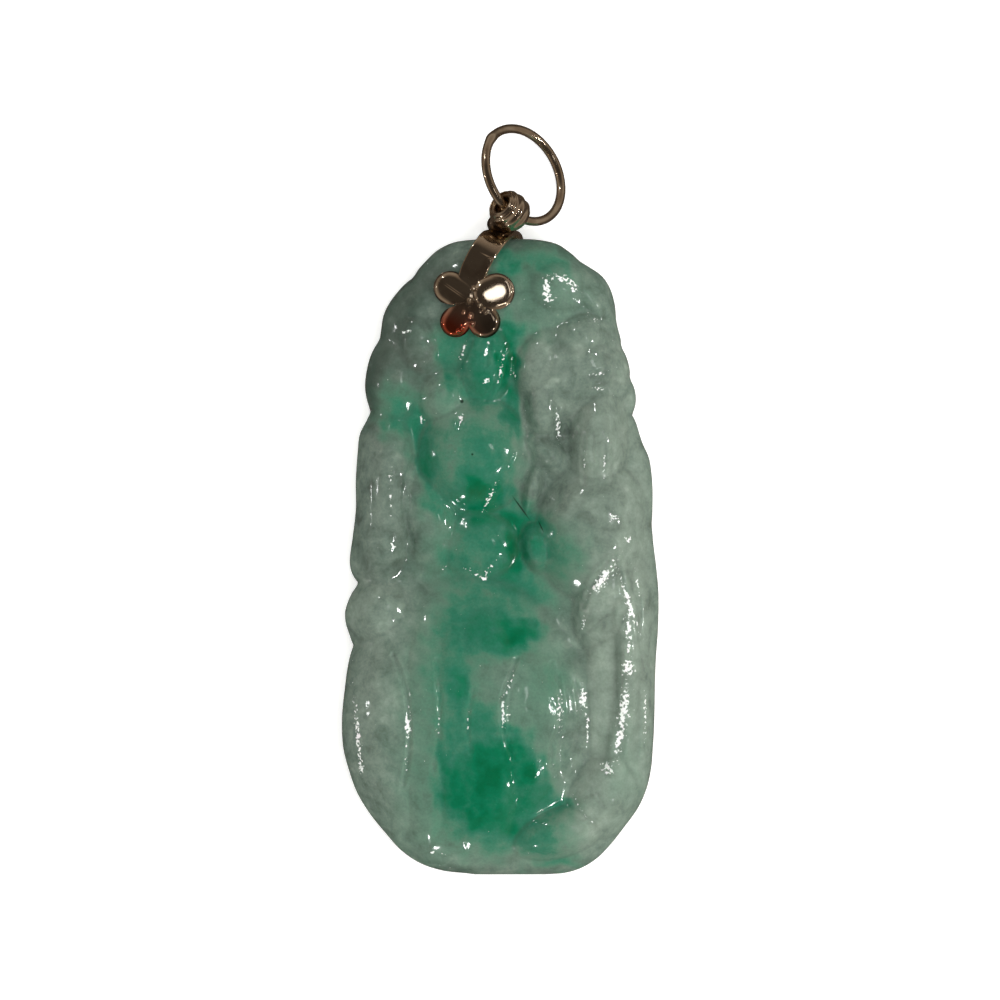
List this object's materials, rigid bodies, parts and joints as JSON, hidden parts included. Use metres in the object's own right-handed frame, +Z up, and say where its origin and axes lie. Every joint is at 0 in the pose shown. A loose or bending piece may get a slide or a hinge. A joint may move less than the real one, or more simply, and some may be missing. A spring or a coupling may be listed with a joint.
{
  "type": "jadeite pendant",
  "caption": "Carved jadeite pendant with raised fruit, melon, bud and leaf forms, a gold blossom bail soldered round its top end and a jump ring for a chain.",
  "frame": {"origin": "on the surface that the pendant lies on, in the middle of its length and width", "axes": "+Y up the pendant towards its jump ring, +Z up from its flat back through its carved front, +X to the right as the front is seen"},
  "size_m": [0.0226, 0.0536, 0.007],
  "materials": {
    "jadeite": "polished",
    "gold": "polished"
  },
  "bodies": {
    "root": {"jade_carving": "jadeite", "bail": "gold", "jump_ring": "gold"}
  },
  "joints": []
}
